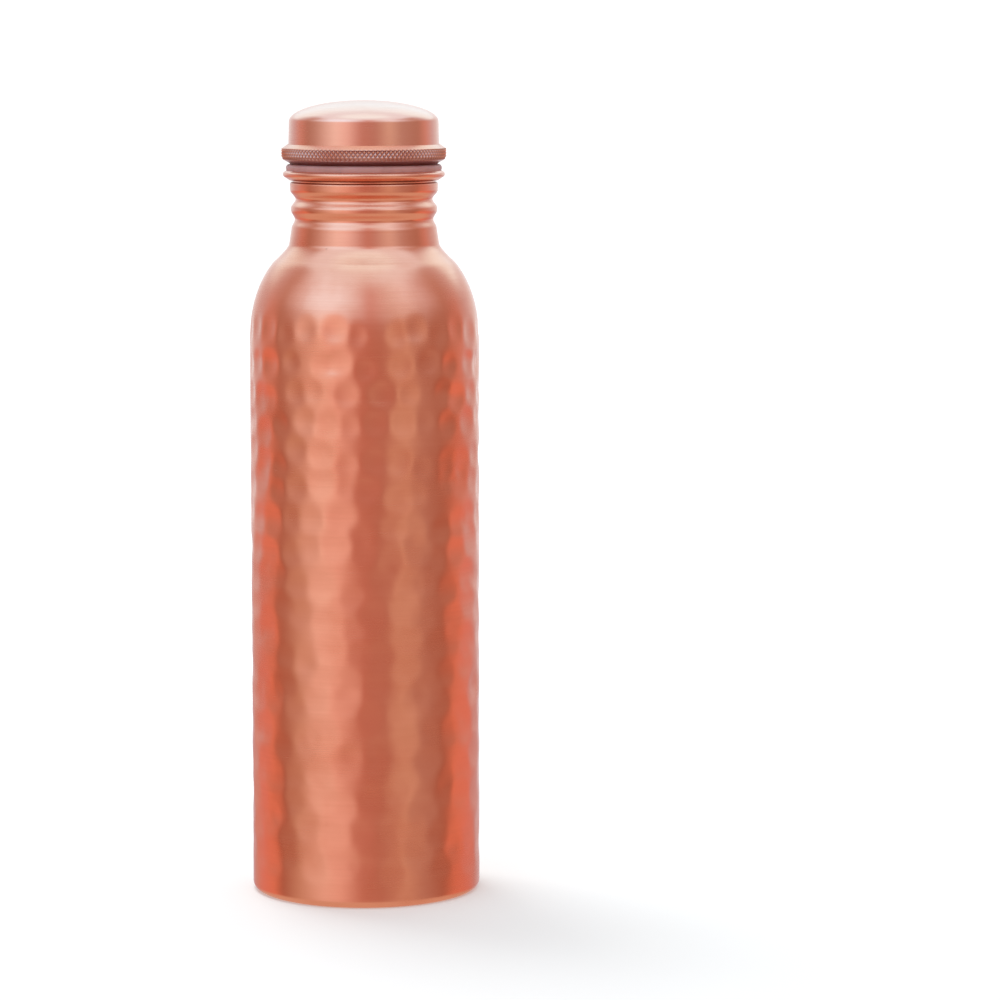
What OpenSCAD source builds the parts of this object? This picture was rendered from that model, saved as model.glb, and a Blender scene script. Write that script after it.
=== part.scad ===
// Copper water bottle: a drawn body with a brazed base cup, a threaded mouth ring,
// and a domed screw cap with a knurled grip ring.
// Millimetres. +Z is up, the axis is Z, and the origin is at the centre of the foot.

/* [Body] */
// Outer diameter of the straight wall
body_d = 77; // [66:0.5:96]
// Height at which the straight wall ends and the shoulder starts
wall_h = 187.3; // [120:0.1:240]
// Thickness of the copper sheet
sheet_t = 0.5; // [0.4:0.05:0.8]
// Radius of the rounded corner at the foot
foot_r = 2.5; // [1.5:0.1:5]
// Width of the flat rim that the bottle stands on
foot_rim_w = 2; // [1:0.1:5]

/* [Shoulder] */
// Height of the shoulder
shoulder_h = 29.5; // [20:0.5:45]
// Sweep of the shoulder's curve, from the wall to the neck, in degrees
shoulder_sweep = 67; // [50:1:80]
// Outer diameter at the foot of the neck
neck_foot_d = 51.6; // [44:0.1:60]

/* [Neck] */
// Outer diameter at the top of the neck
neck_d = 49.6; // [42:0.1:60]
// Outer diameter at the waist, under the lower groove
neck_waist_d = 48.6; // [40:0.1:59]
// Height of the neck
neck_h = 22.7; // [20:0.1:40]
// Depth of the upper rolled groove
groove_depth = 1.7; // [0.5:0.1:2.2]
// Depth of the lower rolled groove
lower_groove_depth = 1.2; // [0.5:0.1:2.2]
// Full width of each rolled groove
groove_w = 6; // [5:0.1:8]
// Distance between the two grooves, across the bead
groove_pitch = 6.7; // [6:0.1:9]
// Distance from the top of the neck to the upper groove
groove_drop = 5.8; // [5:0.1:9]
// Radius of the corner at the top of the neck
neck_corner_r = 0.8; // [0.8:0.1:1.2]

/* [Base cup] */
// Height of the disc's underside above the table, at its edge
base_recess = 7.5; // [5:0.1:20]
// Rise of the disc from its edge to its centre
base_dome = 1.2; // [0:0.1:4]
// Outer radius of the bend between the skirt and the disc
base_corner_r = 1.6; // [1:0.1:2.4]

/* [Mouth] */
// Step in from the top of the neck to the spout, in radius
mouth_step = 3.8; // [3:0.1:6]
// Height of the spout above the neck, with its lip
mouth_h = 15.9; // [13:0.1:24]
// Wall of the mouth ring under its thread
ring_wall = 0.85; // [0.6:0.05:1.5]
// Reach of the collar beyond the top of the neck, in radius
collar_reach = 2.3; // [1.6:0.1:4]
// Height from the neck to the top of the collar
collar_h = 3.7; // [3.4:0.1:6]
// Height of the gap under the collar
collar_gap_h = 0.5; // [0.2:0.05:0.8]
// Height of the collar gasket
gasket_h = 2.1; // [1.4:0.1:4]
// Inset of the gasket from the collar's edge
gasket_inset = 1.05; // [0.6:0.05:2]

/* [Thread] */
// Pitch of the right-hand thread
thread_pitch = 4; // [3:0.1:5]
// Height of a ridge, on the ring and in the cap
thread_h = 1; // [0.8:0.05:1.4]
// Width of a ridge at its root
ridge_root_w = 1.6; // [1:0.1:1.8]
// Width of a ridge at its crest
ridge_crest_w = 0.7; // [0.4:0.1:1]

/* [Cap] */
// Wall of the thread sleeve behind its thread
sleeve_wall = 0.8; // [0.6:0.05:1.5]
// Height from the gasket to the top of the grip ring
grip_h = 6.6; // [5:0.1:10]
// Reach of the grip ring beyond the shell's foot, in radius
grip_reach = 2.35; // [1.5:0.05:4]
// Height of the grip ring's upright, knurled band
grip_band_h = 2.2; // [1.5:0.1:4]
// Height of the bevel above the knurled band
grip_bevel_h = 1.5; // [0.8:0.1:2]
// Depth of the groove that the shell's edge sits in
shell_seat_h = 1.2; // [0.6:0.1:1.3]
// Height of the shell's wall above the grip ring
cap_wall_h = 7.5; // [6.8:0.1:15]
// Rise of the crown above the shell's wall
crown_h = 7.1; // [3:0.1:15]
// Taper of the shell's wall, in radius, from its edge to the crown
cap_taper = 0.25; // [0:0.05:0.3]
// Thickness of the sealing ring in the cap
seal_t = 1.5; // [1:0.1:2.5]
// Width of the sleeve's ledge over the sealing ring
ledge_t = 1.2; // [0.8:0.1:2]

/* [Clearances] */
// Gap between the base cup's skirt and the body, filled by braze
braze_gap = 0.05; // [0.02:0.01:0.1]
// Radial gap between rings that are pressed over each other
press_gap = 0.05; // [0.02:0.01:0.1]
// Radial gap between the two threads
thread_gap = 0.4; // [0.3:0.05:0.6]
// Gap between the closed cap and what it seals on
seat_gap = 0.1; // [0.05:0.01:0.2]
// Gap between the sleeve and the cap's shell, filled at its foot by solder
solder_gap = 0.65; // [0.4:0.05:1]

/* [Hidden] */
$fn = 96;

copper = "#c4724f";
bright_copper = "#d98f6c";
silver_braze = "#b9b2a4";
smoke_silicone = "#a08480";
white_silicone = "#e6e2dc";

// Body and shoulder
body_r = body_d / 2;
body_in_r = body_r - sheet_t;
foot_inner_r = body_r - foot_r - foot_rim_w;
neck_foot_r = neck_foot_d / 2;
shoulder_rx = (body_r - neck_foot_r) / (1 - cos(shoulder_sweep));
shoulder_rz = shoulder_h / sin(shoulder_sweep);
shoulder_cr = body_r - shoulder_rx;
shoulder_steps = 24;

// Neck
neck_r = neck_d / 2;
waist_r = neck_waist_d / 2;
neck_z0 = wall_h + shoulder_h;
neck_z1 = neck_z0 + neck_h;
groove_z = [neck_z1 - groove_drop, neck_z1 - groove_drop - groove_pitch];
waist_z = groove_z[1] - groove_w / 2;

// Mouth ring and gasket
spout_r = neck_r - mouth_step;
spout_in_r = spout_r - sheet_t;
bend_r = sheet_t;
lip_z = neck_z1 + mouth_h;
ring_top_z = lip_z - sheet_t;
ring_bore_r = spout_r + press_gap;
ext_root_r = ring_bore_r + ring_wall;
ext_crest_r = ext_root_r + thread_h;
collar_r = neck_r + collar_reach;
collar_z = neck_z1 + collar_h;
collar_nose_r = 1;
gasket_z = collar_z + gasket_h;
gasket_bore_r = ext_crest_r + press_gap;
gasket_r = collar_r - gasket_inset;
gasket_round_max = 1.1;
gasket_round = min(gasket_round_max, gasket_h / 2);
gasket_taper = 0.2;

// Cap
int_crest_r = ext_root_r + thread_gap;
int_root_r = ext_crest_r + thread_gap;
sleeve_r = int_root_r + sleeve_wall;
cap_z = gasket_z + seat_gap;
grip_bore_r = sleeve_r + press_gap;
grip_z = gasket_z + grip_h + seat_gap;
shell_in_r = sleeve_r + solder_gap;
shell_r = shell_in_r + sheet_t;
grip_seat_r = shell_r + press_gap;
grip_r = shell_r + grip_reach;
grip_round_r = 1.8;
shell_z = grip_z - shell_seat_h;
crown_z = grip_z + cap_wall_h;
crown_r = shell_r - cap_taper;
crown_steps = 28;
seal_z = lip_z + seat_gap;
ledge_z = seal_z + seal_t + seat_gap;
sleeve_z = ledge_z + ledge_t;
seal_r = int_root_r - thread_gap;
seal_bore_r = spout_in_r - sheet_t;

// Threads: each ridge keeps this distance from the ends of its ring, and fades out over a part turn
ridge_margin = 1;
ridge_sink = 0.3;
ridge_steps = 40;
ridge_fade = 8;
ext_ridge_z0 = gasket_z + ridge_margin + ridge_root_w / 2;
ext_ridge_z1 = ring_top_z - ridge_margin / 2 - ridge_root_w / 2;
int_ridge_z0 = cap_z + ridge_margin + ridge_root_w / 2;
int_ridge_z1 = seal_z - ridge_margin / 2 - ridge_root_w / 2;

// Points along an ellipse's arc, from angle a0 to angle a1
function arc(cr, cz, rx, rz, a0, a1, n) = [
    for (i = [0 : n]) let (a = a0 + (a1 - a0) * i / n) [cr + rx * cos(a), cz + rz * sin(a)]
];

function flipped(points) = [for (i = [len(points) - 1 : -1 : 0]) points[i]];

// How far a rolled groove pulls the neck in at height z
function groove(z, centre, depth) =
    abs(z - centre) < groove_w / 2 ? depth * pow(cos(180 * (z - centre) / groove_w), 2) : 0;

// The neck without its grooves: it flares below the waist, to meet the shoulder
neck_flare_power = 2;

function neck_line(z) =
    z > waist_z
    ? waist_r + (neck_r - waist_r) * (z - waist_z) / (neck_z1 - waist_z)
    : waist_r + (neck_foot_r - waist_r) * pow((waist_z - z) / (waist_z - neck_z0), neck_flare_power);

function neck_outer_r(z) =
    neck_line(z) - groove(z, groove_z[0], groove_depth) - groove(z, groove_z[1], lower_groove_depth);

// The same height on the neck's inner face, one sheet thickness in along the normal
slope_dz = 0.01;

function neck_inner(z) =
    let (
        slope = (neck_outer_r(z + slope_dz) - neck_outer_r(z - slope_dz)) / (2 * slope_dz),
        len = sqrt(1 + slope * slope)
    )
    [neck_outer_r(z) - sheet_t / len, z + sheet_t * slope / len];

neck_steps = 52;
neck_straight_z = neck_z1 - neck_corner_r;
neck_zs = [for (i = [1 : neck_steps]) neck_z0 + (neck_straight_z - neck_z0) * i / neck_steps];
neck_outside = [for (z = neck_zs) [neck_outer_r(z), z]];
neck_inside = [for (z = neck_zs) neck_inner(z)];

// The neck's top corner and the ledge that turns in to the spout
corner_cr = neck_outer_r(neck_straight_z) - neck_corner_r;
bend_cr = spout_r + bend_r;
bend_z = neck_z1 + bend_r;

body_outside = concat(
    arc(body_r - foot_r, foot_r, foot_r, foot_r, -90, 0, 8),
    arc(shoulder_cr, wall_h, shoulder_rx, shoulder_rz, 0, shoulder_sweep, shoulder_steps),
    neck_outside,
    arc(corner_cr, neck_straight_z, neck_corner_r, neck_corner_r, 15, 90, 4),
    arc(bend_cr, bend_z, bend_r, bend_r, 270, 180, 4)
);

body_inside = concat(
    arc(bend_cr, bend_z, bend_r + sheet_t, bend_r + sheet_t, 180, 270, 4),
    [[corner_cr + neck_corner_r - sheet_t, neck_z1 - sheet_t]],
    flipped(neck_inside),
    arc(
        shoulder_cr, wall_h, shoulder_rx - sheet_t, shoulder_rz - sheet_t,
        shoulder_sweep, 0, shoulder_steps
    ),
    arc(body_r - foot_r, foot_r, foot_r - sheet_t, foot_r - sheet_t, 0, -90, 6)
);

// The lip is turned out over the top of the mouth ring
mouth_lip = concat(
    [[spout_r, ring_top_z], [ext_root_r, ring_top_z]],
    arc(ext_root_r - sheet_t / 2, lip_z - sheet_t / 2, sheet_t / 2, sheet_t / 2, 0, 90, 3),
    arc(spout_r, ring_top_z, sheet_t, sheet_t, 90, 180, 4)
);

// The rim's cut edge, rounded over
foot_edge = arc(foot_inner_r + sheet_t / 2, sheet_t / 2, sheet_t / 2, sheet_t / 2, 90, 270, 4);

module body_shell() {
    color(copper)
    rotate_extrude()
    polygon(concat(body_outside, mouth_lip, body_inside, foot_edge));
}

// Pressed cup, mouth down, whose disc is the floor of the bottle
bend_steps = 6;
cup_r = body_in_r - braze_gap;
cup_top_z = base_recess + sheet_t;
cup_bend_cr = cup_r - base_corner_r;
cup_bend_z = cup_top_z - base_corner_r;

function disc_rise(r) = base_dome * (1 - pow(r / cup_bend_cr, 2));

disc_steps = 10;
disc_rs = [for (i = [1 : disc_steps]) cup_bend_cr * (1 - i / disc_steps)];

module base_cup() {
    color(copper)
    rotate_extrude()
    polygon(concat(
        [[cup_r - sheet_t, foot_r], [cup_r, foot_r]],
        arc(cup_bend_cr, cup_bend_z, base_corner_r, base_corner_r, 0, 90, bend_steps),
        [for (r = disc_rs) [r, cup_top_z + disc_rise(r)]],
        [for (r = flipped(disc_rs)) [r, base_recess + disc_rise(r)]],
        arc(cup_bend_cr, cup_bend_z, base_corner_r - sheet_t, base_corner_r - sheet_t, 90, 0, bend_steps)
    ));
}

// Fillet of braze between the base cup's bend and the body's wall, over part of the bend's own points
braze_steps = 4;
braze_wet_a = 90 * braze_steps / bend_steps;

module base_braze() {
    color(silver_braze)
    rotate_extrude()
    polygon(concat(
        [[body_in_r, cup_bend_z], [body_in_r, cup_top_z + sheet_t / 2]],
        arc(cup_bend_cr, cup_bend_z, base_corner_r, base_corner_r, braze_wet_a, 0, braze_steps)
    ));
}

// One turn-by-turn ridge, swept up a right-hand helix. base_r is the root wall's radius, and out is
// 1 for a ridge outside it and -1 for one inside it. The ridge is at z_mid where its angle is zero.
module thread_ridge(base_r, out, z0, z1, z_mid) {
    turns = (z1 - z0) / thread_pitch;
    n = ceil(turns * ridge_steps);
    start_a = 360 * (z0 - z_mid) / thread_pitch;
    rings = [
        for (i = [0 : n])
            let (
                a = start_a + 360 * turns * i / n,
                z = z0 + (z1 - z0) * i / n,
                fade = min(1, i / ridge_fade, (n - i) / ridge_fade),
                foot = base_r - out * ridge_sink,
                crest = base_r + out * ((thread_h + ridge_sink / 2) * fade - ridge_sink / 2)
            )
            [
                [foot, z - ridge_root_w / 2, a],
                [crest, z - ridge_crest_w / 2, a],
                [crest, z + ridge_crest_w / 2, a],
                [foot, z + ridge_root_w / 2, a]
            ]
    ];
    points = [for (ring = rings, p = ring) [p[0] * cos(p[2]), p[0] * sin(p[2]), p[1]]];
    sides = [
        for (i = [0 : n - 1], k = [0 : 3])
            let (a = 4 * i + k, b = 4 * i + (k + 1) % 4)
            each [[a, b, b + 4], [a, b + 4, a + 4]]
    ];
    last = 4 * n;
    ends = [[0, 3, 2], [0, 2, 1], [last, last + 1, last + 2], [last, last + 2, last + 3]];
    faces = concat(sides, ends);
    polyhedron(points, out > 0 ? faces : [for (f = faces) flipped(f)]);
}

// Turned copper ring on the spout: the collar, the gasket's land and the thread
collar_nose_drop = 1.2;
collar_nose_z = collar_z - collar_nose_drop;
collar_nose_cr = collar_r - collar_nose_r;
collar_overhang = 0.1;
ring_register_inset = 1.2;
ring_register_r = neck_r - ring_register_inset;
ring_relief_gap = 0.15;
ring_relief = bend_r + ring_relief_gap;

module mouth_ring() {
    color(copper) {
        rotate_extrude()
        polygon(concat(
            [
                [ring_bore_r, neck_z1 + ring_relief],
                [ring_bore_r + ring_relief, neck_z1],
                [ring_register_r, neck_z1],
                [ring_register_r, neck_z1 + collar_gap_h],
                [neck_r + collar_overhang, neck_z1 + collar_gap_h]
            ],
            arc(collar_nose_cr, collar_nose_z, collar_nose_r, collar_nose_r, -50, 70, 8),
            [
                [collar_nose_cr, collar_z],
                [ext_crest_r, collar_z],
                [ext_crest_r, gasket_z],
                [ext_root_r, gasket_z + ridge_margin / 2],
                [ext_root_r, ring_top_z],
                [ring_bore_r, ring_top_z]
            ]
        ));
        thread_ridge(ext_root_r, 1, ext_ridge_z0, ext_ridge_z1, ext_ridge_z0);
    }
}

// Silicone ring on the collar, flat below and rounded above
module collar_gasket() {
    color(smoke_silicone)
    rotate_extrude()
    polygon(concat(
        [[gasket_bore_r, gasket_z], [gasket_bore_r, collar_z], [gasket_r - gasket_taper, collar_z]],
        [[gasket_r, collar_z + gasket_h / 3]],
        arc(gasket_r - gasket_round, gasket_z - gasket_round, gasket_round, gasket_round, 0, 90, 6)
    ));
}

// Loose silicone ring that the cap presses on the lip
seal_edge = 0.25;

module cap_seal() {
    color(white_silicone)
    rotate_extrude()
    polygon([
        [seal_bore_r + seal_edge, seal_z],
        [seal_r - seal_edge, seal_z],
        [seal_r, seal_z + seal_edge],
        [seal_r, seal_z + seal_t - seal_edge],
        [seal_r - seal_edge, seal_z + seal_t],
        [seal_bore_r + seal_edge, seal_z + seal_t],
        [seal_bore_r, seal_z + seal_t - seal_edge],
        [seal_bore_r, seal_z + seal_edge]
    ]);
}

// Spun copper dome of the cap
module cap_shell() {
    color(bright_copper)
    rotate_extrude()
    polygon(concat(
        [[shell_in_r, shell_z], [shell_r, shell_z]],
        arc(0, crown_z, crown_r, crown_h, 0, 90, crown_steps),
        arc(0, crown_z, crown_r - sheet_t, crown_h - sheet_t, 90, 0, crown_steps)
    ));
}

// Turned ring at the foot of the cap. Its upright band carries the knurl.
grip_band_z1 = grip_z - grip_bevel_h;
grip_band_z0 = grip_band_z1 - grip_band_h;
grip_top_w = 0.2;
grip_foot_w = 0.45;
grip_foot_flare = [0.3, 0.36];

module cap_grip_ring() {
    color(copper)
    rotate_extrude()
    polygon(concat(
        [
            [grip_bore_r, cap_z],
            [grip_bore_r + grip_foot_w, cap_z],
            [grip_bore_r + grip_foot_w + grip_foot_flare[0], cap_z + grip_foot_flare[1]]
        ],
        arc(grip_r - grip_round_r, grip_band_z0, grip_round_r, grip_round_r, -60, 0, 6),
        [
            [grip_r, grip_band_z1],
            [grip_seat_r + grip_top_w, grip_z],
            [grip_seat_r, grip_z],
            [grip_seat_r, shell_z],
            [grip_bore_r, shell_z]
        ]
    ));
}

// Threaded sleeve inside the cap, with the ledge that holds the sealing ring down
module cap_thread_sleeve() {
    color(copper) {
        rotate_extrude()
        polygon([
            [int_root_r, cap_z],
            [sleeve_r, cap_z],
            [sleeve_r, sleeve_z],
            [seal_bore_r, sleeve_z],
            [seal_bore_r, ledge_z],
            [int_root_r, ledge_z]
        ]);
        thread_ridge(int_root_r, -1, int_ridge_z0, int_ridge_z1, ext_ridge_z0 + thread_pitch / 2);
    }
}

// Solder in the channel between the sleeve and the shell, on the grip ring
solder_h = 0.8;

function shell_inside_r(z) = shell_in_r - cap_taper * (z - shell_z) / (crown_z - shell_z);

module cap_solder() {
    color(silver_braze)
    rotate_extrude()
    polygon([
        [sleeve_r, shell_z],
        [shell_in_r, shell_z],
        [shell_inside_r(shell_z + solder_h), shell_z + solder_h],
        [sleeve_r, shell_z + solder_h]
    ]);
}

body_shell();
base_cup();
base_braze();
mouth_ring();
collar_gasket();
cap_seal();
cap_shell();
cap_grip_ring();
cap_thread_sleeve();
cap_solder();
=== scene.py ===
import math
import random

import bmesh
import bpy
from mathutils.kdtree import KDTree
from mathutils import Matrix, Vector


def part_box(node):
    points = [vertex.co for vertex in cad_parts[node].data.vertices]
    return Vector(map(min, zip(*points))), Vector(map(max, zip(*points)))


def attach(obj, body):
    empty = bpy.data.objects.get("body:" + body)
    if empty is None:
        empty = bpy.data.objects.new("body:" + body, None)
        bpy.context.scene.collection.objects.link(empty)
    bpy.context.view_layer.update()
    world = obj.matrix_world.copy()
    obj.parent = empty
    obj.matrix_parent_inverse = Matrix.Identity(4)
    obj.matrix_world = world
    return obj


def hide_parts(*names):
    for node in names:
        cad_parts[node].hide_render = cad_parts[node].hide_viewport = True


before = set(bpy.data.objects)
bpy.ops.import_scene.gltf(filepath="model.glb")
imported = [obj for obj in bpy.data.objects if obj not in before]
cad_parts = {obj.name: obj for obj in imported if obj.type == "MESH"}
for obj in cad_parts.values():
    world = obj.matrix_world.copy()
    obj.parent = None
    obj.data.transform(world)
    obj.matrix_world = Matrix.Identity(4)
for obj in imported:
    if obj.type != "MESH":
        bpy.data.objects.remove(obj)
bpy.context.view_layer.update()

# ---------------------------------------------------------------- Body shell
# One drawn copper shell: a hammered wall, a smooth shoulder, a neck with two rolled grooves, and a spout
# whose lip is turned out over the mouth ring. The hammer marks are struck in rows round the wall, crisp at
# the top and softer towards the foot, and the whole shell is then satin brushed round its axis.

mm = 0.001
full_turn = 2 * math.pi


def arc(centre_r, centre_z, reach_r, reach_z, start, end, steps):
    """Points (radius, height) along an ellipse's arc, between two angles in degrees."""
    turns = [math.radians(start + (end - start) * i / steps) for i in range(steps + 1)]
    return [(centre_r + reach_r * math.cos(t), centre_z + reach_z * math.sin(t)) for t in turns]


def turned(name, outline, steps):
    """A solid of revolution: a vertex drawn out along a closed outline of (radius, height), then spun."""
    bpy.ops.object.select_all(action="DESELECT")
    bpy.ops.mesh.primitive_plane_add(size=mm)
    piece = bpy.context.object
    piece.name = name
    bpy.ops.object.mode_set(mode="EDIT")
    bpy.ops.mesh.merge(type="CENTER")
    bpy.ops.transform.translate(value=(outline[0][0], 0, outline[0][1]))
    for (r0, z0), (r1, z1) in zip(outline, outline[1:]):
        bpy.ops.mesh.extrude_region_move(TRANSFORM_OT_translate={"value": (r1 - r0, 0, z1 - z0)})
    ends = bmesh.from_edit_mesh(piece.data)
    ends.verts.ensure_lookup_table()
    ends.verts[0].select_set(True)
    bpy.ops.mesh.edge_face_add()
    bpy.ops.mesh.select_all(action="SELECT")
    bpy.ops.mesh.spin(steps=steps, angle=full_turn, center=(0, 0, 0), axis=(0, 0, 1))
    bpy.ops.mesh.select_all(action="SELECT")
    bpy.ops.mesh.remove_doubles(threshold=mm / 1000)
    bpy.ops.mesh.delete_loose(use_verts=True, use_edges=True, use_faces=False)
    bpy.ops.mesh.select_all(action="SELECT")
    bpy.ops.mesh.normals_make_consistent(inside=False)
    bpy.ops.mesh.select_all(action="DESELECT")
    bpy.ops.object.mode_set(mode="OBJECT")
    return piece


def inset(outline, i, depth):
    """The point that lies a given depth under the i-th point of an outline drawn upwards on the outside."""
    (r0, z0), (r1, z1) = outline[max(i - 1, 0)], outline[min(i + 1, len(outline) - 1)]
    length = math.hypot(r1 - r0, z1 - z0)
    return (outline[i][0] - depth * (z1 - z0) / length, outline[i][1] + depth * (r1 - r0) / length)


body_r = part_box("body_shell")[1].x
lip_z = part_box("body_shell")[1].z
neck_top_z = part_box("mouth_ring")[0].z
sheet = 0.5 * mm
foot_corner = 2.5 * mm
foot_rim_r = body_r - foot_corner - 2 * mm
wall_top_z = 187.3 * mm
neck_foot_z = 216.8 * mm
neck_foot_r = 25.8 * mm
neck_top_r = 24.8 * mm
waist_r = 24.3 * mm
cone_r = waist_r + 0.75 * (neck_foot_r - waist_r)
shoulder_sweep = 67
shoulder_bend = 15
shoulder_rx = (body_r - neck_foot_r) / (1 - math.cos(math.radians(shoulder_sweep)))
shoulder_rz = (neck_foot_z - wall_top_z) / math.sin(math.radians(shoulder_sweep))
groove_w = 6 * mm
grooves = ((neck_top_z - 5.8 * mm, 1.7 * mm), (neck_top_z - 12.5 * mm, 1.2 * mm))
waist_z = grooves[1][0] - groove_w / 2
neck_corner = 0.8 * mm
spout_r = neck_top_r - 3.8 * mm
ring_top_z = lip_z - sheet
lip_r = spout_r + 0.9 * mm
half = sheet / 2


def neck_r(z):
    """The neck's radius: a taper above the waist, a wider cone below it, and the two rolled grooves."""
    if z > waist_z:
        r = waist_r + (neck_top_r - waist_r) * (z - waist_z) / (neck_top_z - waist_z)
    else:
        r = waist_r + (cone_r - waist_r) * (waist_z - z) / (waist_z - neck_foot_z)
    for groove_z, depth in grooves:
        if abs(z - groove_z) < groove_w / 2:
            r -= depth * math.cos(math.pi * (z - groove_z) / groove_w) ** 2
    return r


def spaced(start, end, steps):
    """Even steps from start to end, without start itself."""
    return [start + (end - start) * i / steps for i in range(1, steps + 1)]


def bend(start, corner, end, steps):
    """Points along a soft bend that leaves start towards the corner and arrives at end from it."""
    points = []
    for t in spaced(0, 1, steps)[:-1]:
        points.append(tuple(
            a * (1 - t) ** 2 + 2 * c * t * (1 - t) + b * t * t for a, c, b in zip(start, corner, end)
        ))
    return points


# The shoulder's arc stops short of the neck, and a soft bend carries it on.
wall_rings = 160
neck_rings = 36
shoulder_turn = shoulder_sweep - shoulder_bend
shoulder = arc(body_r - shoulder_rx, wall_top_z, shoulder_rx, shoulder_rz, 0, shoulder_turn, 19)
neck_line_foot = neck_foot_z + 1.8 * mm
neck_line_top = neck_top_z - neck_corner
corner_cr = neck_r(neck_line_top) - neck_corner
outside = (
    [(foot_rim_r + half, 0.0)]
    + arc(body_r - foot_corner, foot_corner, foot_corner, foot_corner, -90, 0, 6)
    + [(body_r, z) for z in spaced(foot_corner, wall_top_z, wall_rings)][:-1]
    + shoulder
    + bend(shoulder[-1], (neck_foot_r, neck_foot_z), (neck_r(neck_line_foot), neck_line_foot), 9)
    + [(neck_r(z), z) for z in [neck_line_foot] + spaced(neck_line_foot, neck_line_top, neck_rings)]
    + arc(corner_cr, neck_line_top, neck_corner, neck_corner, 25, 90, 3)
    + arc(spout_r + sheet, neck_top_z + sheet, sheet, sheet, 270, 180, 3)
    + [(spout_r, z) for z in spaced(neck_top_z + sheet, ring_top_z, 3)]
)
lip = [(lip_r, ring_top_z)]
lip += arc(lip_r - half, ring_top_z + half, half, half, -45, 90, 3)
lip += arc(spout_r, ring_top_z, sheet, sheet, 90, 180, 4)

# Inside, the wall, the shoulder and most of the neck have half as many rings as outside.
sparse_rings = range(8, wall_rings + 67)
inside_rings = [i for i in range(1, len(outside) - 1) if i % 2 == 0 or i not in sparse_rings]
inside = [inset(outside, i, sheet) for i in reversed(inside_rings)]
foot_edge = arc(foot_rim_r + half, half, half, half, 90, 225, 3)
body = turned("hammered_body", outside + lip + inside + foot_edge, steps=252)

# The hammer marks. Each blow draws the wall in towards the axis, deepest under the hammer's middle. From
# row to row downwards the blows get shallower, broader and less even in height.
hammer = random.Random(11)
blow_top_z = 191 * mm
blow_row_pitch = 10.4 * mm
blow_rows = 18
blows_round = 27
blow_reach = (3.7 * mm, 4.2 * mm, 4.7 * mm)
front_blows = [(-42, -28, -13, -1, 18, 28, 41), (-37, -19, -12, 3, 20, 36), (-24, -7, 10, 25, 44)]


def row_angles(first):
    """Where a row's blows fall, in degrees from the front: those given, then evenly on round the back."""
    angles = list(first) if first else [hammer.uniform(-8, 8)]
    spare = 360 - (angles[-1] - angles[0])
    gaps = round(spare * blows_round / 360)
    start = angles[-1]
    angles += [start + spare * i / gaps + hammer.uniform(-3.2, 3.2) for i in range(1, gaps)]
    return angles


skin = KDTree(len(body.data.vertices))
for v in body.data.vertices:
    if v.co.xy.length > body_r - half:
        skin.insert(v.co, v.index)
skin.balance()

bpy.ops.object.mode_set(mode="EDIT")
bpy.context.tool_settings.mesh_select_mode = (True, False, False)
for row in range(blow_rows):
    row_depth = (0.54 - 0.30 * min(1, row / 9)) * mm
    row_spread = 1 + 0.25 * min(1, row / 9)
    row_wander = (0.8 + 3.0 * min(1, row / 5)) * mm
    angles = row_angles(front_blows[row] if row < len(front_blows) else ())
    row_z = blow_top_z - blow_row_pitch * row
    for strength, reach in enumerate(blow_reach):
        bm = bmesh.from_edit_mesh(body.data)
        bm.verts.ensure_lookup_table()
        for angle in angles[strength::len(blow_reach)]:
            turn = math.radians(angle)
            z = row_z + hammer.uniform(-1, 1) * row_wander
            near = skin.find((body_r * math.sin(turn), -body_r * math.cos(turn), z))
            bm.verts[near[1]].select_set(True)
        drawn = 1 - row_depth * (0.8 + 0.2 * strength) / body_r
        bpy.ops.transform.resize(
            value=(drawn, drawn, 1), center_override=(0, 0, 0), use_proportional_edit=True,
            proportional_edit_falloff="INVERSE_SQUARE", proportional_size=reach * row_spread,
        )
        bpy.ops.mesh.select_all(action="DESELECT")
bm = bmesh.from_edit_mesh(body.data)
for v in bm.verts:
    v.select_set(foot_corner < v.co.z < blow_top_z + 8 * mm)
bpy.ops.mesh.vertices_smooth(factor=0.5, repeat=2)
bpy.ops.mesh.select_all(action="DESELECT")
bpy.ops.object.mode_set(mode="OBJECT")
bpy.ops.object.shade_smooth_by_angle(angle=math.radians(35))


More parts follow.
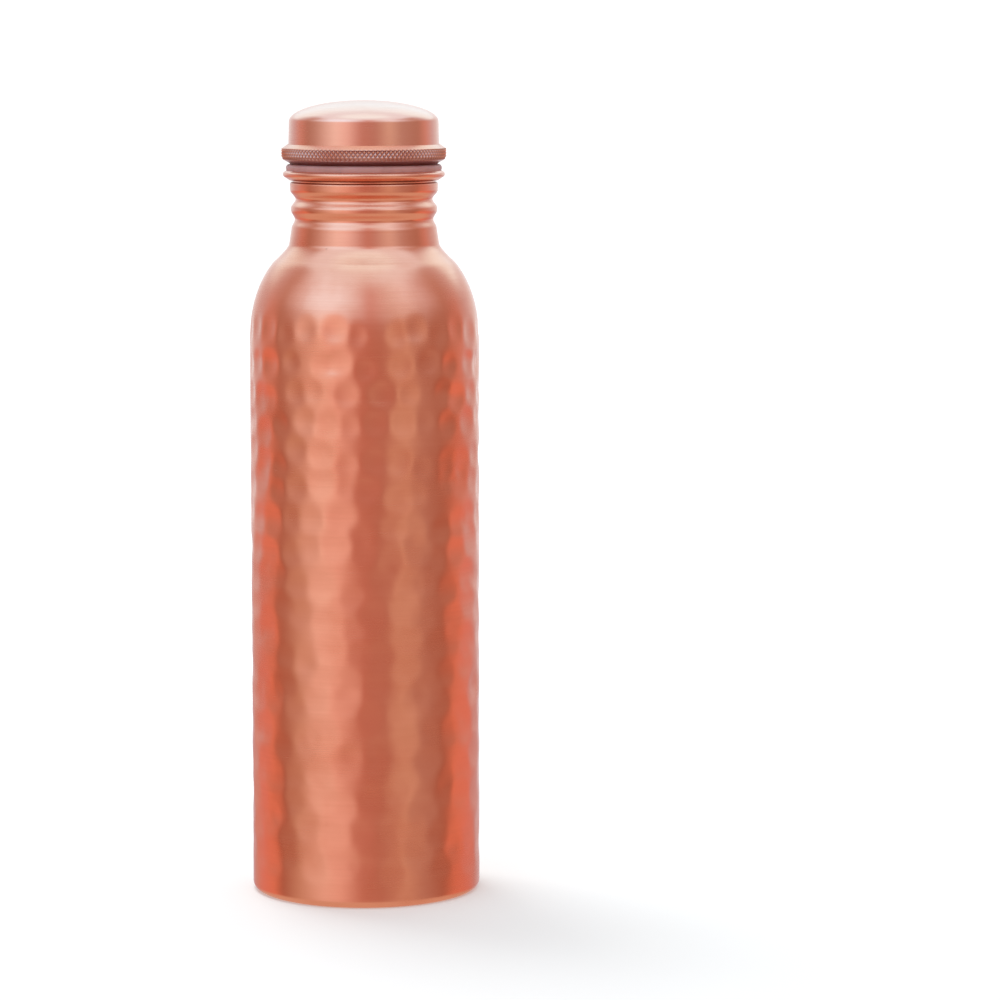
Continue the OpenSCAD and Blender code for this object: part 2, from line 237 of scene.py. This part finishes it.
class Wire:
    """A shader socket that takes part in sums. A sum on wires adds its Math nodes to the tree."""

    def __init__(self, tree, socket=None):
        self.tree = tree
        self.socket = socket

    def node(self, kind, settings=None, out=0, **inputs):
        """Adds a node, sets it up, then gives its sockets values or links. i0 is the first socket."""
        made = self.tree.nodes.new(kind)
        for name, value in (settings or {}).items():
            if name == "stops":
                ramp = made.color_ramp.elements
                while len(ramp) < len(value):
                    ramp.new(0.5)
                for stop, (place, colour) in zip(ramp, value):
                    stop.position = place
                    stop.color = (*colour, 1)
            else:
                setattr(made, name, value)
        for name, value in inputs.items():
            socket = made.inputs[int(name[1:]) if name[1:].isdigit() else name.replace("_", " ")]
            if isinstance(value, Wire):
                self.tree.links.new(value.socket, socket)
            elif socket.type == "RGBA":
                socket.default_value = (*value, 1)
            else:
                socket.default_value = value
        return Wire(self.tree, made.outputs[out])

    def maths(self, operation, a, b=0.0, c=0.0):
        return self.node("ShaderNodeMath", {"operation": operation}, i0=a, i1=b, i2=c)

    def __add__(self, other):
        return self.maths("ADD", self, other)

    def __radd__(self, other):
        return self.maths("ADD", other, self)

    def __sub__(self, other):
        return self.maths("SUBTRACT", self, other)

    def __rsub__(self, other):
        return self.maths("SUBTRACT", other, self)

    def __mul__(self, other):
        return self.maths("MULTIPLY", self, other)

    def __rmul__(self, other):
        return self.maths("MULTIPLY", other, self)

    def ramp(self, low, high):
        """0 below low, 1 above high, and smooth between them."""
        return self.node(
            "ShaderNodeMapRange", {"interpolation_type": "SMOOTHSTEP"},
            Value=self, From_Min=low, From_Max=high,
        )

    def mixed(self, a, b):
        """Colour a where this wire is 0, and colour b where it is 1."""
        return self.node("ShaderNodeMix", {"data_type": "RGBA"}, out=2, i0=self, i6=a, i7=b)


def finish(name, roughness, metallic=1.0, **constants):
    """A new material: its shader, with what is the same all over it set on the shader's own sockets."""
    material = bpy.data.materials.new(name)
    material.use_nodes = True
    shader = material.node_tree.nodes["Principled BSDF"]
    shader.inputs["Roughness"].default_value = roughness
    shader.inputs["Metallic"].default_value = metallic
    for socket, value in constants.items():
        shader.inputs[socket.replace("_", " ")].default_value = value
    return material, shader, Wire(material.node_tree)


def feed(shader, **inputs):
    """Links wires to the shader's sockets."""
    for socket, wire in inputs.items():
        wire.tree.links.new(wire.socket, shader.inputs[socket.replace("_", " ")])


# Painted shade and tarnish, for hollows and the underside of a ring.
recess_shade_and_tarnish_colour = (0.50, 0.28, 0.25)
# Painted shade, for the gap under a collar.
gap_painted_shade = (0.34, 0.15, 0.10)
pit_black = (0.08, 0.03, 0.02)


def brushed_copper(
    name, light, dark, roughness, grain, streak=1.0, tarnish=0.35, flecks=0.0, recess_shade_and_tarnish=None, shaded_gap=None,
):
    """Copper brushed round the axis: fine lines, slow tarnish, and a few tiny pits. The two optional
    (radius, height) pairs darken it: inside and below the first with painted shade and tarnish, and
    outside and above the second with painted shade.
    """
    material, shader, wire = finish(name, roughness, Anisotropic=0.5, Anisotropic_Rotation=0.25)
    place = wire.node("ShaderNodeTexCoord", out=3)
    xyz = wire.node("ShaderNodeSeparateXYZ", Vector=place)
    x, y, z = (Wire(wire.tree, s) for s in xyz.socket.node.outputs)
    radius = wire.maths("SQRT", x * x + y * y)
    along = z - radius

    def lines(round_scale, across_scale, detail):
        stretched = wire.node(
            "ShaderNodeCombineXYZ", X=x * round_scale, Y=y * round_scale, Z=along * across_scale,
        )
        return wire.node("ShaderNodeTexNoise", Vector=stretched, Scale=1.0, Detail=detail, Roughness=0.6)

    fine = lines(45, 2600, 3.0)
    broad = lines(18, 420, 2.0)
    cloud = wire.node("ShaderNodeTexNoise", Vector=place, Scale=38.0, Detail=4.0, Roughness=0.55)
    streaks = (fine - 0.5) * (0.3 * streak) + (broad - 0.5) * (0.25 * streak)
    worn = cloud.ramp(0.42, 0.68) * tarnish + streaks
    colour = worn.ramp(-0.25, 0.6).mixed(light, dark)
    if recess_shade_and_tarnish:
        # Painted shade and tarnish inside and below the given radius and height.
        deep_r, top_z = recess_shade_and_tarnish
        deep = (1 - radius.ramp(deep_r - 0.3 * mm, deep_r)) * (1 - z.ramp(top_z, top_z + 0.15 * mm))
        colour = deep.mixed(colour, recess_shade_and_tarnish_colour)
    if shaded_gap:
        # Painted shade outside and above the given radius and height, where a gap lies in shade.
        shaded_gap_r, shaded_gap_z = shaded_gap
        gap_shade_mask = radius.ramp(shaded_gap_r - 0.3 * mm, shaded_gap_r) * z.ramp(shaded_gap_z - 0.3 * mm, shaded_gap_z)
        colour = gap_shade_mask.mixed(colour, gap_painted_shade)
    if flecks:
        cell = wire.node("ShaderNodeTexVoronoi", {"feature": "F1"}, Vector=place, Scale=95.0)
        chance = wire.node("ShaderNodeTexNoise", Vector=place, Scale=26.0, Detail=0.0)
        pit = (1 - cell.ramp(0.035, 0.06)) * chance.ramp(0.72, 0.74)
        colour = (pit * flecks).mixed(colour, pit_black)
    rough = (fine - 0.5) * (0.15 * streak) + cloud.ramp(0.35, 0.75) * 0.07 + roughness
    bump = wire.node("ShaderNodeBump", Height=fine + broad * 0.6, Strength=1.0, Distance=grain)
    feed(shader, Base_Color=colour, Roughness=rough, Normal=bump)
    return material


# The neck's top edge, in the gap under the mouth ring's collar, is darkened with painted shade.
body.data.materials.append(brushed_copper(
    "hammered_copper", light=(0.94, 0.48, 0.34), dark=(0.86, 0.37, 0.24), roughness=0.21, grain=0.0015 * mm,
    flecks=0.8, shaded_gap=(spout_r + 1.5 * mm, neck_line_top + 0.55 * mm),
))
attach(body, "bottle")
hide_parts("body_shell")

# ---------------------------------------------------------------- Base cup and its braze
# A pressed copper cup, mouth down, whose slightly domed disc is the floor of the bottle. It is pushed up
# into the foot and brazed to the wall from inside, so the braze is only a dull fillet in the bottle.

cup_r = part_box("base_cup")[1].x
cup_top_z = 8 * mm
cup_bend = 1.6 * mm
cup_dome = 1.2 * mm
disc_r = cup_r - cup_bend


def disc(base_z, rs):
    """Points on the cup's slightly domed disc, at the radii given."""
    return [(r, base_z + cup_dome * (1 - (r / disc_r) ** 2)) for r in rs]


disc_rs = spaced(disc_r, 0, 14)
base_cup = turned(
    "pressed_base_cup",
    [(cup_r - sheet, foot_corner), (cup_r, foot_corner)]
    + arc(disc_r, cup_top_z - cup_bend, cup_bend, cup_bend, 0, 90, 6)
    + disc(cup_top_z, disc_rs)
    + disc(cup_top_z - sheet, disc_rs[::-1])
    + arc(disc_r, cup_top_z - cup_bend, cup_bend - sheet, cup_bend - sheet, 90, 0, 5),
    steps=144,
)
bpy.ops.object.shade_smooth_by_angle(angle=math.radians(40))
base_cup.data.materials.append(brushed_copper(
    "pressed_copper", light=(0.87, 0.42, 0.29), dark=(0.66, 0.26, 0.17), roughness=0.34, grain=0.006 * mm,
    streak=1.3, tarnish=0.6,
))
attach(base_cup, "bottle")
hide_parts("base_cup")


def flowed_metal(name, light, dark, roughness):
    """Braze or solder as it flowed and set: a dull metal skin, grey where the flux burned off."""
    material, shader, wire = finish(name, roughness)
    place = wire.node("ShaderNodeTexCoord", out=3)
    skin = wire.node("ShaderNodeTexNoise", Vector=place, Scale=420.0, Detail=4.0, Roughness=0.6)
    burn = wire.node("ShaderNodeTexNoise", Vector=place, Scale=70.0, Detail=2.0)
    bump = wire.node("ShaderNodeBump", Height=skin, Strength=0.7, Distance=0.06 * mm)
    rough = skin * 0.3 + (roughness - 0.1)
    feed(shader, Base_Color=burn.ramp(0.4, 0.65).mixed(light, dark), Roughness=rough, Normal=bump)
    return material


silver_braze = flowed_metal("silver_braze", (0.66, 0.62, 0.54), (0.36, 0.33, 0.29), 0.4)
for node in ("base_braze", "cap_solder"):
    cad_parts[node].data.materials.clear()
    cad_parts[node].data.materials.append(silver_braze)

# ---------------------------------------------------------------- Mouth ring
# A turned copper ring that is soldered on the spout. It carries the collar under the cap, the land that the
# gasket sits on and the thread that the cap screws on to. The spout's lip is turned out over its top.

collar_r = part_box("mouth_ring")[1].x
collar_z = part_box("collar_gasket")[0].z
land_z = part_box("collar_gasket")[1].z
collar_gap = 0.5 * mm
register_r = neck_top_r - 1.2 * mm
nose_r = 1 * mm
nose_z = collar_z - 1.2 * mm
ring_bore_r = spout_r + 0.05 * mm
root_r = ring_bore_r + 0.85 * mm
thread_h = 1 * mm
thread_pitch = 4 * mm
crest_r = root_r + thread_h
ring_relief = 0.65 * mm

mouth_ring = turned(
    "turned_mouth_ring",
    [
        (ring_bore_r, neck_top_z + ring_relief),
        (ring_bore_r + ring_relief, neck_top_z),
        (register_r, neck_top_z),
        (register_r, neck_top_z + collar_gap),
        (neck_top_r + 0.1 * mm, neck_top_z + collar_gap),
    ]
    + arc(collar_r - nose_r, nose_z, nose_r, nose_r, -50, 70, 10)
    + [
        (collar_r - nose_r, collar_z),
        (crest_r, collar_z),
        (crest_r, land_z),
        (root_r, land_z + 0.5 * mm),
        (root_r, ring_top_z),
        (ring_bore_r, ring_top_z),
    ],
    steps=192,
)
turned_copper = brushed_copper(
    "turned_copper", light=(0.94, 0.49, 0.35), dark=(0.84, 0.36, 0.24), roughness=0.22, grain=0.005 * mm,
    streak=1.1, tarnish=0.2,
)


def thread(name, base_r, out, z0, z1, angle0):
    """A right-hand ridge on a wall of radius base_r: a flat-topped profile screwed up, faded at its ends.
    out is 1 on an outside thread and -1 on an inside one, and angle0 is where the ridge starts.
    """
    turns = (z1 - z0) / thread_pitch
    steps = round(turns * 48)
    sink = 0.3 * mm
    section = [(-sink, -0.8 * mm), (thread_h, -0.35 * mm), (thread_h, 0.35 * mm), (-sink, 0.8 * mm)]
    bpy.ops.object.select_all(action="DESELECT")
    bpy.ops.mesh.primitive_plane_add(size=mm)
    ridge = bpy.context.object
    ridge.name = name
    bpy.ops.object.mode_set(mode="EDIT")
    bpy.ops.mesh.merge(type="CENTER")
    here = (0, 0)
    for deep, high in section:
        spot = (base_r + out * deep, z0 + high)
        step = {"value": (spot[0] - here[0], 0, spot[1] - here[1])}
        if here == (0, 0):
            bpy.ops.transform.translate(**step)
        else:
            bpy.ops.mesh.extrude_region_move(TRANSFORM_OT_translate=step)
        here = spot
    bm = bmesh.from_edit_mesh(ridge.data)
    bm.verts.ensure_lookup_table()
    bm.verts[0].select_set(True)
    bpy.ops.mesh.edge_face_add()
    bpy.ops.mesh.select_all(action="SELECT")
    bpy.ops.transform.rotate(value=-angle0, orient_axis="Z", center_override=(0, 0, 0))
    bpy.ops.object.mode_set(mode="OBJECT")
    screw = ridge.modifiers.new("screw", "SCREW")
    screw.angle = full_turn * turns
    screw.screw_offset = z1 - z0
    screw.steps = screw.render_steps = steps
    bpy.ops.object.modifier_apply(modifier="screw")
    bpy.ops.object.mode_set(mode="EDIT")
    bm = bmesh.from_edit_mesh(ridge.data)
    for v in bm.verts:
        r = v.co.xy.length
        share = (math.atan2(v.co.y, v.co.x) - angle0) / full_turn
        mid = z0 + thread_pitch * (share + round((v.co.z - z0) / thread_pitch - share))
        fade = min(1, (mid - z0) / (0.6 * mm), (z1 - mid) / (0.6 * mm))
        if out * (r - base_r) > 0:
            wanted = base_r + out * (thread_h * fade - 0.1 * mm * (1 - fade))
            v.co.xy = v.co.xy * (wanted / r)
    bmesh.update_edit_mesh(ridge.data)
    bpy.ops.mesh.select_all(action="SELECT")
    bpy.ops.mesh.fill_holes(sides=4)
    bpy.ops.mesh.select_all(action="SELECT")
    bpy.ops.mesh.normals_make_consistent(inside=False)
    bpy.ops.object.mode_set(mode="OBJECT")
    return ridge


def unite(piece, other):
    """Fuses another solid into a piece."""
    bpy.ops.object.select_all(action="DESELECT")
    bpy.context.view_layer.objects.active = piece
    piece.select_set(True)
    union = piece.modifiers.new("union", "BOOLEAN")
    union.operation = "UNION"
    union.object = other
    bpy.ops.object.modifier_apply(modifier="union")
    bpy.data.objects.remove(other)


ridge_z0 = land_z + 1.8 * mm
ridge = thread("ridge", root_r, 1, ridge_z0, ring_top_z - 1.3 * mm, 0)
unite(mouth_ring, ridge)
bpy.ops.object.shade_smooth_by_angle(angle=math.radians(35))
mouth_ring.data.materials.append(turned_copper)
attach(mouth_ring, "bottle")
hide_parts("mouth_ring")

# ---------------------------------------------------------------- Collar gasket
# A soft smoke-grey silicone ring, flat below and rounded above. It sits on the collar round the ring's
# land, and the cap's foot presses on it. Its colour is painted light: pinker and lighter than the grey
# silicone, for the copper's glow reflected in it.

gasket_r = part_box("collar_gasket")[1].x
gasket_bore_r = crest_r + 0.05 * mm
gasket_round = (land_z - collar_z) / 2
gasket = turned(
    "collar_gasket_ring",
    [
        (gasket_bore_r, land_z),
        (gasket_bore_r, collar_z),
        (gasket_r - 0.2 * mm, collar_z),
        (gasket_r, collar_z + 0.7 * mm),
    ]
    + arc(gasket_r - gasket_round, land_z - gasket_round, gasket_round, gasket_round, 0, 90, 8),
    steps=144,
)
bpy.ops.object.shade_smooth_by_angle(angle=math.radians(40))


def silicone(name, light, dark, roughness, **constants):
    """Moulded silicone with a faint bloom of dust and a satin skin."""
    material, shader, wire = finish(name, roughness, metallic=0.0, **constants)
    place = wire.node("ShaderNodeTexCoord", out=3)
    dust = wire.node("ShaderNodeTexNoise", Vector=place, Scale=160.0, Detail=5.0, Roughness=0.65)
    skin = wire.node("ShaderNodeTexNoise", Vector=place, Scale=2400.0, Detail=2.0)
    bump = wire.node("ShaderNodeBump", Height=skin, Strength=0.5, Distance=0.02 * mm)
    rough = dust * 0.25 + (roughness - 0.1)
    feed(shader, Base_Color=dust.ramp(0.35, 0.7).mixed(light, dark), Roughness=rough, Normal=bump)
    return material


# Painted light: the pink in these colours is the copper's reflected glow, painted over smoke-grey silicone.
gasket.data.materials.append(silicone(
    "smoke_silicone", (0.62, 0.37, 0.35), (0.52, 0.30, 0.28), 0.42, Subsurface_Weight=0.15,
    Subsurface_Scale=1 * mm,
))
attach(gasket, "bottle")
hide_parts("collar_gasket")

# ---------------------------------------------------------------- Cap seal
# A loose ring of milky silicone with softened edges. It lies in the cap under the sleeve's ledge, and the
# closed cap presses it on the bottle's lip.

seal_low, seal_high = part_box("cap_seal")
seal_r = seal_high.x
seal_bore_r = spout_r - 2 * sheet
seal_edge = 0.25 * mm
seal = turned(
    "sealing_ring",
    arc(seal_r - seal_edge, seal_low.z + seal_edge, seal_edge, seal_edge, -90, 0, 3)
    + arc(seal_r - seal_edge, seal_high.z - seal_edge, seal_edge, seal_edge, 0, 90, 3)
    + arc(seal_bore_r + seal_edge, seal_high.z - seal_edge, seal_edge, seal_edge, 90, 180, 3)
    + arc(seal_bore_r + seal_edge, seal_low.z + seal_edge, seal_edge, seal_edge, 180, 270, 3),
    steps=144,
)
bpy.ops.object.shade_smooth_by_angle(angle=math.radians(40))
seal.data.materials.append(silicone(
    "white_silicone", (0.78, 0.76, 0.72), (0.70, 0.67, 0.62), 0.4, Subsurface_Weight=0.3,
    Subsurface_Scale=2 * mm,
))
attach(seal, "cap_seal")
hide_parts("cap_seal")

# ---------------------------------------------------------------- Thread sleeve
# A turned copper sleeve inside the cap, with the inside thread and a ledge over the sealing ring. It is
# soldered to the cap's shell and to the grip ring.

sleeve_low, sleeve_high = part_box("cap_thread_sleeve")
sleeve_r = sleeve_high.x
inner_root_r = sleeve_r - 0.8 * mm
ledge_z = seal_high.z + 0.1 * mm
sleeve = turned(
    "cap_sleeve",
    [
        (inner_root_r, sleeve_low.z),
        (sleeve_r, sleeve_low.z),
        (sleeve_r, sleeve_high.z),
        (seal_bore_r, sleeve_high.z),
        (seal_bore_r, ledge_z),
        (inner_root_r, ledge_z),
    ],
    steps=192,
)
inner_z0 = sleeve_low.z + 1.8 * mm
half_pitch_turn = full_turn * (inner_z0 - ridge_z0 - thread_pitch / 2) / thread_pitch
ridge = thread("inner_ridge", inner_root_r, -1, inner_z0, seal_low.z - 1.3 * mm, half_pitch_turn)
unite(sleeve, ridge)
bpy.ops.object.shade_smooth_by_angle(angle=math.radians(35))
sleeve.data.materials.append(turned_copper)
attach(sleeve, "cap")
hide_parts("cap_thread_sleeve")

# ---------------------------------------------------------------- Grip ring
# A turned copper ring round the cap's foot. Its upright band is diamond knurled down into the turned-in
# underside, and a bevel leads up to the shell. The knurl's hollows and the ring's underside are darkened
# with painted shade and tarnish.

grip_low, grip_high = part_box("cap_grip_ring")
grip_r = grip_high.x
grip_bore_r = sleeve_r + 0.05 * mm
shell_low, shell_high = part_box("cap_shell")
grip_seat_r = shell_high.x + 0.05 * mm
grip_round = 1.8 * mm
band_top_z = grip_high.z - 1.5 * mm
band_low_z = band_top_z - 2.2 * mm
knurl_round = 115
knurl_rise = 0.95 * mm
knurl_depths = (0.42 * mm, 0.42 * mm, 0.42 * mm, 0.38 * mm, 0.26 * mm)
knurl_zs = [band_top_z] + [band_top_z - 0.5 * mm - knurl_rise * i for i in range(4)]


def grip_edge_r(z):
    """The grip ring's outer radius: upright in the band, and round below it."""
    drop = max(0, band_low_z - z)
    return grip_r - grip_round + math.sqrt(grip_round ** 2 - drop ** 2)


grip = turned(
    "knurled_grip_ring",
    [
        (grip_bore_r, grip_low.z),
        (grip_bore_r + 0.45 * mm, grip_low.z),
        (grip_bore_r + 0.75 * mm, grip_low.z + 0.36 * mm),
    ]
    + arc(grip_r - grip_round, band_low_z, grip_round, grip_round, -60, -50, 2)
    + [(grip_edge_r(z), z) for z in knurl_zs[::-1]]
    + [
        (grip_r - 0.35 * mm, band_top_z + 0.25 * mm),
        (grip_seat_r + 0.2 * mm, grip_high.z),
        (grip_seat_r, grip_high.z),
        (grip_seat_r, shell_low.z),
        (grip_bore_r, shell_low.z),
    ],
    steps=2 * knurl_round,
)
bpy.ops.object.mode_set(mode="EDIT")
for ring, (z, depth) in enumerate(zip(knurl_zs, knurl_depths)):
    bm = bmesh.from_edit_mesh(grip.data)
    for v in bm.verts:
        column = round(math.atan2(v.co.y, v.co.x) / full_turn * 2 * knurl_round)
        in_ring = abs(v.co.z - z) < 0.01 * mm and v.co.xy.length > grip_seat_r + 0.5 * mm
        v.select_set(in_ring and (column + ring) % 2 == 0)
    drawn = 1 - depth / grip_edge_r(z)
    bpy.ops.transform.resize(value=(drawn, drawn, 1), center_override=(0, 0, 0))
    bpy.ops.mesh.select_all(action="DESELECT")
bm = bmesh.from_edit_mesh(grip.data)
for f in bm.faces:
    in_knurl = all(knurl_zs[-1] - mm < v.co.z < band_top_z + 0.1 * mm for v in f.verts)
    f.select_set(in_knurl and f.normal.xy.length > 0.3)
bpy.ops.mesh.quads_convert_to_tris(quad_method="SHORTEST_DIAGONAL")
bpy.ops.mesh.select_all(action="DESELECT")
bpy.ops.object.mode_set(mode="OBJECT")
bpy.ops.object.shade_smooth_by_angle(angle=math.radians(18))
# Painted shade and tarnish darken the knurl's hollows and the ring's underside.
grip.data.materials.append(brushed_copper(
    "knurled_copper", light=(0.93, 0.48, 0.34), dark=(0.80, 0.34, 0.22), roughness=0.22, grain=0.004 * mm,
    tarnish=0.3, recess_shade_and_tarnish=(grip_r - 0.03 * mm, band_top_z),
))
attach(grip, "cap")
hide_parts("cap_grip_ring")

# ---------------------------------------------------------------- Cap shell
# The cap's spun copper dome: a short, slightly tapered wall and a low round crown, brushed on the lathe.
# Its edge sits in the grip ring's groove.

shell_r = shell_high.x
crown_r = shell_r - 0.25 * mm
crown_h = 7.1 * mm
crown_z = shell_high.z - crown_h
wall_points = [(shell_r, shell_low.z)]
wall_points += zip(spaced(shell_r, crown_r, 6)[:-1], spaced(shell_low.z, crown_z, 6)[:-1])
shell = turned(
    "spun_cap_shell",
    wall_points
    + arc(0, crown_z, crown_r, crown_h, 0, 90, 30)
    + arc(0, crown_z, crown_r - sheet, crown_h - sheet, 90, 0, 18)
    + [(shell_r - sheet, shell_low.z)],
    steps=192,
)
bpy.ops.object.shade_smooth_by_angle(angle=math.radians(35))
shell.data.materials.append(brushed_copper(
    "spun_copper", light=(0.96, 0.58, 0.46), dark=(0.90, 0.48, 0.36), roughness=0.22, grain=0.003 * mm,
    tarnish=0.2,
))
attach(shell, "cap")
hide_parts("cap_shell")

# ---------------------------------------------------------------- Studio
# A pale paper floor that curves up into a round wall, and a soft light tent round the bottle. The tent is
# white behind and overhead, with a broad reflector on the left of the camera, a narrow one on the right,
# and warm card between and at the sides. One soft lamp behind on the left throws the shadow.

floor_r = 2.6
cove_r = 0.8
paper_top_z = 2.6
bpy.ops.object.select_all(action="DESELECT")
bpy.ops.mesh.primitive_circle_add(vertices=96, radius=floor_r - cove_r, fill_type="NGON")
floor = bpy.context.object
floor.name = "studio_floor"
bpy.ops.object.mode_set(mode="EDIT")
bpy.ops.mesh.select_all(action="SELECT")
bpy.ops.mesh.select_mode(type="EDGE")
here = (floor_r - cove_r, 0)
for r, z in arc(floor_r - cove_r, cove_r, cove_r, cove_r, -90, 0, 10)[1:] + [(floor_r, paper_top_z)]:
    bpy.ops.mesh.extrude_edges_move(TRANSFORM_OT_translate={"value": (0, 0, z - here[1])})
    bpy.ops.transform.resize(value=(r / here[0], r / here[0], 1), center_override=(0, 0, z))
    here = (r, z)
bpy.ops.object.mode_set(mode="OBJECT")
bpy.ops.object.shade_smooth()

# The paper glows a little, and more so further out, so that it stays white round the shadow. It is kept out
# of the reflections, where the tent takes its place.
material, shader, wire = finish("studio_paper", 0.9, metallic=0.0, Emission_Strength=0.6)
shader.inputs["Base Color"].default_value = (0.66, 0.58, 0.515, 1)
place = wire.node("ShaderNodeTexCoord", out=3)
away = wire.node("ShaderNodeVectorMath", {"operation": "LENGTH"}, out=1, i0=place)
feed(shader, Emission_Color=away.ramp(0.25, 0.8).mixed((0.46, 0.46, 0.46), (1, 1, 1)))
floor.data.materials.append(material)
floor.visible_glossy = False
floor.visible_diffuse = False
floor.visible_shadow = False

# The tent is three bands of cloth and card under a roof, lowest band first. Azimuth 0 is behind the camera,
# 90 is on the right, and each stop is (azimuth, colour).
white_sheet = (1.00, 1.40, 1.60)
side_sheet = (1.00, 1.35, 1.50)
left_skylight = (1.00, 1.35, 1.70)
back_glow = (0.95, 1.05, 1.10)
back_grey = (0.85, 0.90, 0.95)
floor_glow = (0.85, 0.85, 0.90)
dusty_rose = (0.65, 0.55, 0.60)
dark_rose = (0.60, 0.35, 0.35)
red_card = (0.80, 0.30, 0.20)
faded_red_card = (0.75, 0.30, 0.25)
brown_card = (0.65, 0.35, 0.30)
brown_shade = (0.45, 0.25, 0.20)
dark_gap = (0.40, 0.15, 0.10)
front_gap = (0.55, 0.25, 0.20)
front_shade = (0.50, 0.25, 0.20)
right_shade = (0.50, 0.30, 0.25)
low_cloth = [
    (-180, floor_glow),
    (-168, dusty_rose),
    (-157, dark_rose),
    (-146, brown_card),
    (-130, faded_red_card),
    (-106, red_card),
    (-92, dark_gap),
    (-70, (0.60, 0.40, 0.30)),
    (-42, (0.85, 0.65, 0.60)),
    (-25, (0.85, 0.60, 0.55)),
    (-2, front_gap),
    (20, front_shade),
    (42, (0.65, 0.45, 0.35)),
    (62, right_shade),
    (88, dark_gap),
    (102, red_card),
    (130, faded_red_card),
    (146, dark_rose),
    (160, dusty_rose),
    (180, floor_glow),
]
middle_cloth = [
    (-180, back_glow),
    (-160, back_grey),
    (-132, dusty_rose),
    (-112, brown_card),
    (-94, brown_shade),
    (-76, (0.55, 0.35, 0.30)),
    (-42, (0.95, 0.80, 0.75)),
    (-25, (0.90, 0.65, 0.60)),
    (-2, front_gap),
    (20, front_shade),
    (42, (0.70, 0.50, 0.40)),
    (62, right_shade),
    (94, brown_shade),
    (112, brown_card),
    (132, dusty_rose),
    (160, back_grey),
    (180, back_glow),
]
high_cloth = [
    (-180, white_sheet),
    (-140, side_sheet),
    (-118, dusty_rose),
    (-98, (0.55, 0.35, 0.30)),
    (-80, (0.80, 0.80, 0.90)),
    (-55, left_skylight),
    (-32, left_skylight),
    (-12, (0.90, 1.05, 1.25)),
    (8, (0.70, 0.45, 0.45)),
    (32, (0.85, 0.90, 1.00)),
    (50, (0.95, 1.10, 1.30)),
    (76, (0.70, 0.60, 0.65)),
    (98, (0.55, 0.35, 0.30)),
    (118, dusty_rose),
    (140, side_sheet),
    (180, white_sheet),
]
brightest = 2.0
world = bpy.data.worlds.new("studio_air")
world.use_nodes = True
air = Wire(world.node_tree)
way = air.node("ShaderNodeSeparateXYZ", Vector=air.node("ShaderNodeTexCoord"))
east, north, rise = (Wire(air.tree, s) for s in way.socket.node.outputs)
turn = air.maths("ARCTAN2", east, 0 - north) * (1 / full_turn) + 0.5


def cloth(stops):
    """A band of the tent, coloured by azimuth."""
    placed = [(azimuth / 360 + 0.5, [c / brightest for c in colour]) for azimuth, colour in stops]
    return air.node("ShaderNodeValToRGB", {"stops": placed}, Fac=turn)


roof = rise.ramp(0.90, 0.97).mixed((0.45, 0.55, 0.65), (0.50, 0.70, 0.80))
tent = rise.ramp(-0.50, -0.30).mixed((0.35, 0.25, 0.20), cloth(low_cloth))
tent = rise.ramp(-0.17, -0.08).mixed(tent, cloth(middle_cloth))
tent = rise.ramp(0.20, 0.40).mixed(tent, cloth(high_cloth))
tent = rise.ramp(0.70, 0.84).mixed(tent, roof)
ground = world.node_tree.nodes["Background"]
world.node_tree.links.new(tent.socket, ground.inputs["Color"])
ground.inputs["Strength"].default_value = brightest
bpy.context.scene.world = world

key_azimuth = math.radians(-145)
key_elevation = math.radians(64)
key_distance = 1.2
key_size = 0.45
key_brightness = 12.0
bottle_middle_z = 0.14
light = bpy.data.lights.new("key", "AREA")
light.shape = "RECTANGLE"
light.size = key_size
light.size_y = key_size
light.color = (0.88, 1.0, 1.12)
light.energy = key_brightness * key_size * key_size * math.pi
key = bpy.data.objects.new("key", light)
bpy.context.scene.collection.objects.link(key)
key.location = (
    math.sin(key_azimuth) * math.cos(key_elevation) * key_distance,
    -math.cos(key_azimuth) * math.cos(key_elevation) * key_distance,
    math.sin(key_elevation) * key_distance + bottle_middle_z,
)
key.rotation_euler = (math.pi / 2 - key_elevation, 0, key_azimuth)
key.visible_camera = False
key.visible_glossy = False

bpy.context.scene.view_settings.view_transform = "Standard"
lens = bpy.data.cameras.new("camera")
lens.lens = 142.8
lens.sensor_width = 36
camera_dip = 6.55
camera = bpy.data.objects.new("camera", lens)
bpy.context.scene.collection.objects.link(camera)
camera.location = (0.0455, -1.33, 0.285)
camera.rotation_euler = (math.radians(90 - camera_dip), 0, 0)
bpy.context.scene.camera = camera
